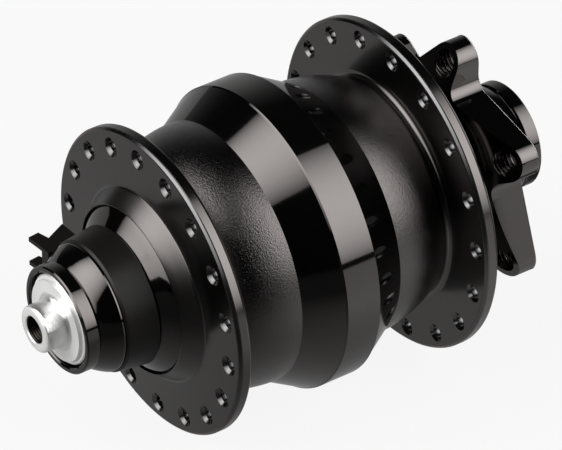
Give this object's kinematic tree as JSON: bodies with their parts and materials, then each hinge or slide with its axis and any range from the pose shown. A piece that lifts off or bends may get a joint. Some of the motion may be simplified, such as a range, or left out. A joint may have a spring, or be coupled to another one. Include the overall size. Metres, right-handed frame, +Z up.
{
  "type": "hub dynamo",
  "caption": "Bicycle front hub with a built-in generator: spoked shell with a raised band, disc brake mount, fork stubs and a side plug socket.",
  "frame": {"origin": "on the axle's centre line, midway between the two fork faces", "axes": "+Y along the axle towards the brake disc, +Z up; the plug socket points along -X at the -Y end"},
  "size_m": [0.0644, 0.107, 0.0644],
  "materials": {
    "bright_metal": "polished and finely turned",
    "axle_steel": "ground",
    "gloss_black": "gloss black anodised",
    "satin_black": "bead-blasted satin black anodised",
    "matte_black": "fine-grained moulded plastic",
    "contact_brass": "bright stamped strip",
    "seal_rubber": "smooth black rubber",
    "wire_sleeve": "plain sleeve",
    "bearing_steel": "ground and polished",
    "cage_plastic": "moulded",
    "soft_iron": "stamped and dark plated",
    "coil_copper": "enamelled wire",
    "bobbin_plastic": "moulded",
    "magnet_plating": "nickel plated"
  },
  "bodies": {
    "axle_unit": {"axle": "axle_steel", "left_adapter": "bright_metal", "right_adapter": "bright_metal", "adapter_seals": "seal_rubber", "left_end_cap": "gloss_black", "right_end_cap": "gloss_black", "connector_ring": "matte_black", "terminal_contacts": "contact_brass", "lead_wires": "wire_sleeve", "left_dust_cap": "gloss_black", "right_dust_cap": "gloss_black", "left_spacer": "axle_steel", "right_spacer": "axle_steel", "stator_core": "soft_iron", "left_claw_pole": "soft_iron", "right_claw_pole": "soft_iron", "bobbin": "bobbin_plastic", "winding": "coil_copper", "left_inner_race": "bearing_steel", "right_inner_race": "bearing_steel"},
    "shell": {"left_shell": "satin_black", "centre_ring": "gloss_black", "right_shell": "satin_black", "magnet_yoke": "axle_steel", "magnets": "magnet_plating", "shell_seals": "seal_rubber", "left_outer_race": "bearing_steel", "left_bearing_seals": "seal_rubber", "right_outer_race": "bearing_steel", "right_bearing_seals": "seal_rubber"},
    "left_rollers": {"left_balls": "bearing_steel", "left_cage": "cage_plastic"},
    "right_rollers": {"right_balls": "bearing_steel", "right_cage": "cage_plastic"}
  },
  "joints": [
    {"name": "shell_spin", "type": "hinge", "parent": "axle_unit", "child": "shell", "pos_m": [0, 0, 0], "axis": [0, 1, 0], "continuous": true},
    {"name": "left_rollers_spin", "type": "hinge", "parent": "axle_unit", "child": "left_rollers", "pos_m": [0, 0, 0], "axis": [0, 1, 0], "continuous": true},
    {"name": "right_rollers_spin", "type": "hinge", "parent": "axle_unit", "child": "right_rollers", "pos_m": [0, 0, 0], "axis": [0, 1, 0], "continuous": true}
  ],
  "couplings": [
    {"joint": "left_rollers_spin", "follows": "shell_spin", "ratio": 0.59302},
    {"joint": "right_rollers_spin", "follows": "shell_spin", "ratio": 0.59302}
  ]
}
